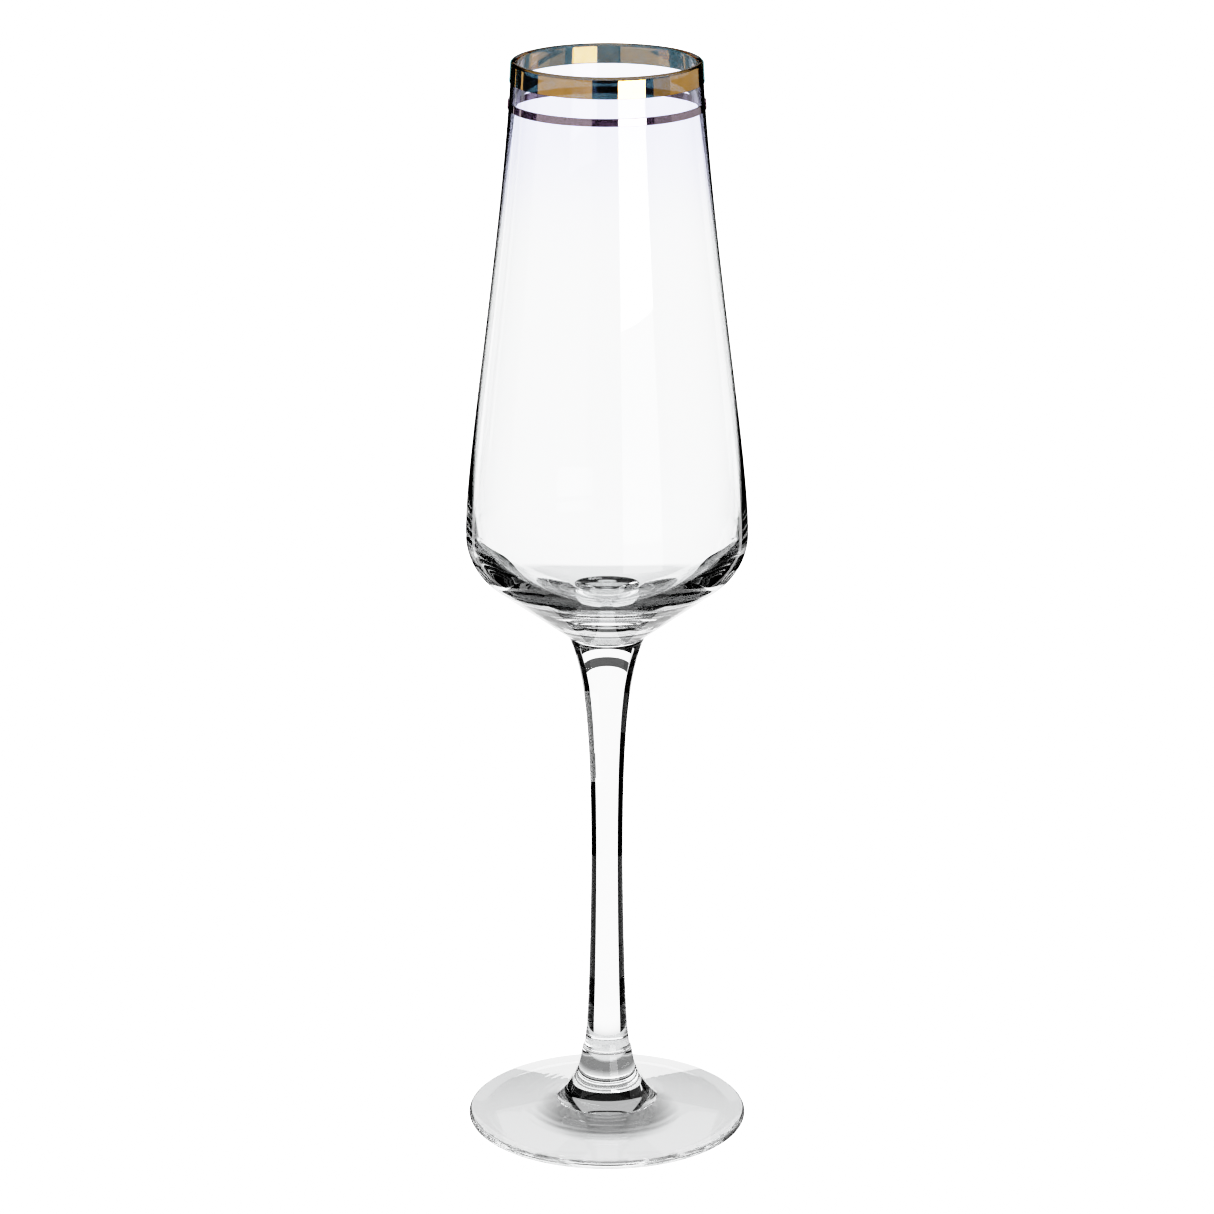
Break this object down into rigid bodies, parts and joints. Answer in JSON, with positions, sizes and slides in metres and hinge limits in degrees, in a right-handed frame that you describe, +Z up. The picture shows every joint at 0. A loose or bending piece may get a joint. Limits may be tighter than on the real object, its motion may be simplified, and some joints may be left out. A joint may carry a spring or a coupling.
{
  "type": "champagne flute",
  "caption": "Tall tapered champagne flute in clear glass with a round foot, a slim flared stem, a gold rim band and a fine platinum-lustre line.",
  "frame": {"origin": "on the axis of the glass, in the plane of the table that the foot stands on", "axes": "+Z up along the axis of the glass, from the foot to the mouth"},
  "size_m": [0.0646, 0.0646, 0.25],
  "materials": {
    "foot_glass": "clear, fire-polished",
    "stem_glass": "clear, fire-polished",
    "bowl_glass": "clear, fire-polished, faint lavender cast near the lip",
    "gold_lustre": "bright fired-on gold, thin enough to pass a little blue-green light",
    "platinum_lustre": "fired-on platinum lustre with a mauve cast"
  },
  "bodies": {
    "root": {"foot": "foot_glass", "stem": "stem_glass", "bowl": "bowl_glass", "gold_rim_band": "gold_lustre", "platinum_line": "platinum_lustre"}
  },
  "joints": []
}
